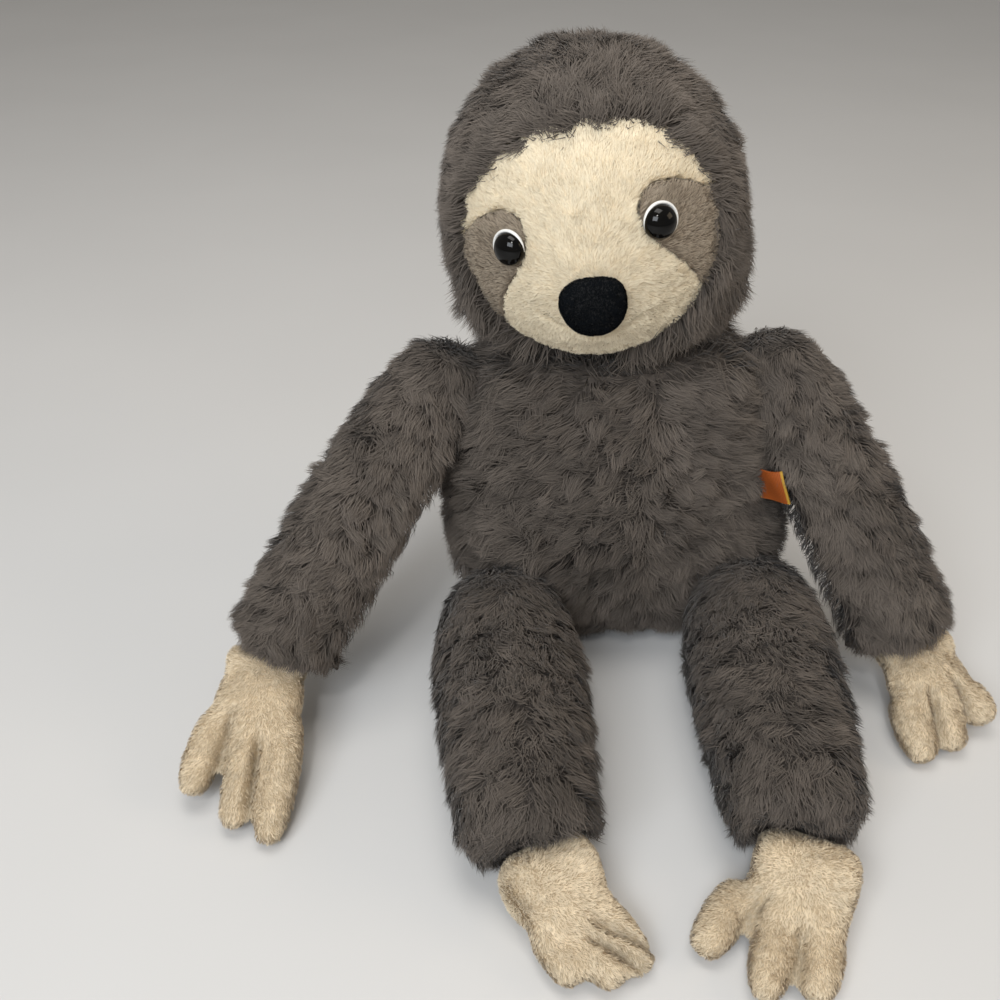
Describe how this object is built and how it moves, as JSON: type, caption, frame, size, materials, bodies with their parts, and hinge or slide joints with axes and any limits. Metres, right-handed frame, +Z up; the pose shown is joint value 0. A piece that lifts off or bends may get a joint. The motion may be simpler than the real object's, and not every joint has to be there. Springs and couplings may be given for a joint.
{
  "type": "stuffed toy sloth",
  "caption": "Seated stuffed toy sloth in long-pile fur with a hooded cream face, domed eyes, padded nose and short-pile hands and feet that turn at their seams.",
  "frame": {"origin": "on the table under the middle of the seat, where the flat base meets it", "axes": "+Z up, the toy faces -Y, and its own left arm points to +X"},
  "size_m": [0.3543, 0.2824, 0.2738],
  "materials": {
    "fur": "long-pile grey-brown fur fabric",
    "pile": "short cream pile with a slight sheen",
    "patch": "short taupe pile",
    "nose": "black velvety pile",
    "eye": "glossy black dome",
    "eye_ring": "white satin",
    "washer": "matte",
    "stuffing": "loose fibre fill",
    "pouch": "plain woven bag",
    "label": "woven satin label"
  },
  "bodies": {
    "torso": {"torso_front_left": "fur", "torso_front_right": "fur", "torso_back": "fur", "torso_stuffing": "stuffing", "seat_bean_pouch": "pouch", "side_label": "label"},
    "head": {"hood_left": "fur", "hood_right": "fur", "face_panel": "pile", "eye_patch_right": "patch", "eye_patch_left": "patch", "nose_pad": "nose", "eye_dome_right": "eye", "eye_ring_right": "eye_ring", "eye_washer_right": "washer", "eye_dome_left": "eye", "eye_ring_left": "eye_ring", "eye_washer_left": "washer", "head_stuffing": "stuffing"},
    "arm_right": {"arm_sleeve_right": "fur", "arm_stuffing_right": "stuffing"},
    "hand_right": {"hand_right": "pile", "hand_stuffing_right": "stuffing"},
    "leg_right": {"leg_sleeve_right": "fur", "leg_stuffing_right": "stuffing"},
    "foot_right": {"foot_right": "pile", "foot_stuffing_right": "stuffing"},
    "arm_left": {"arm_sleeve_left": "fur", "arm_stuffing_left": "stuffing"},
    "hand_left": {"hand_left": "pile", "hand_stuffing_left": "stuffing"},
    "leg_left": {"leg_sleeve_left": "fur", "leg_stuffing_left": "stuffing"},
    "foot_left": {"foot_left": "pile", "foot_stuffing_left": "stuffing"}
  },
  "joints": [
    {"name": "neck_turn", "type": "hinge", "parent": "torso", "child": "head", "pos_m": [-0.01661, -0.008, 0.158], "axis": [0, 0, 1], "range_deg": [-35, 35]},
    {"name": "shoulder_right", "type": "hinge", "parent": "torso", "child": "arm_right", "pos_m": [-0.08779, -0.014, 0.136], "axis": [0.8141, 0, -0.5807], "range_deg": [-85, 60]},
    {"name": "wrist_right", "type": "hinge", "parent": "arm_right", "child": "hand_right", "pos_m": [-0.16659, -0.07577, 0.03242], "axis": [0.9877, -0.1564, 0], "range_deg": [-15, 45]},
    {"name": "hip_right", "type": "hinge", "parent": "torso", "child": "leg_right", "pos_m": [-0.06278, -0.075, 0.036], "axis": [-0.9998, -0.0175, 0], "range_deg": [-75, 40]},
    {"name": "ankle_right", "type": "hinge", "parent": "leg_right", "child": "foot_right", "pos_m": [-0.06092, -0.18184, 0.0145], "axis": [0.891, 0.454, 0], "range_deg": [-35, 20]},
    {"name": "shoulder_left", "type": "hinge", "parent": "torso", "child": "arm_left", "pos_m": [0.05921, -0.014, 0.136], "axis": [0.8854, 0, 0.4648], "range_deg": [-85, 60]},
    {"name": "wrist_left", "type": "hinge", "parent": "arm_left", "child": "hand_left", "pos_m": [0.12321, -0.07577, 0.02269], "axis": [0.9945, 0.1045, 0], "range_deg": [-15, 45]},
    {"name": "hip_left", "type": "hinge", "parent": "torso", "child": "leg_left", "pos_m": [0.04772, -0.075, 0.036], "axis": [-0.9962, 0.0872, 0], "range_deg": [-75, 40]},
    {"name": "ankle_left", "type": "hinge", "parent": "leg_left", "child": "foot_left", "pos_m": [0.0384, -0.18145, 0.0145], "axis": [0.9063, -0.4226, 0], "range_deg": [-35, 20]}
  ]
}
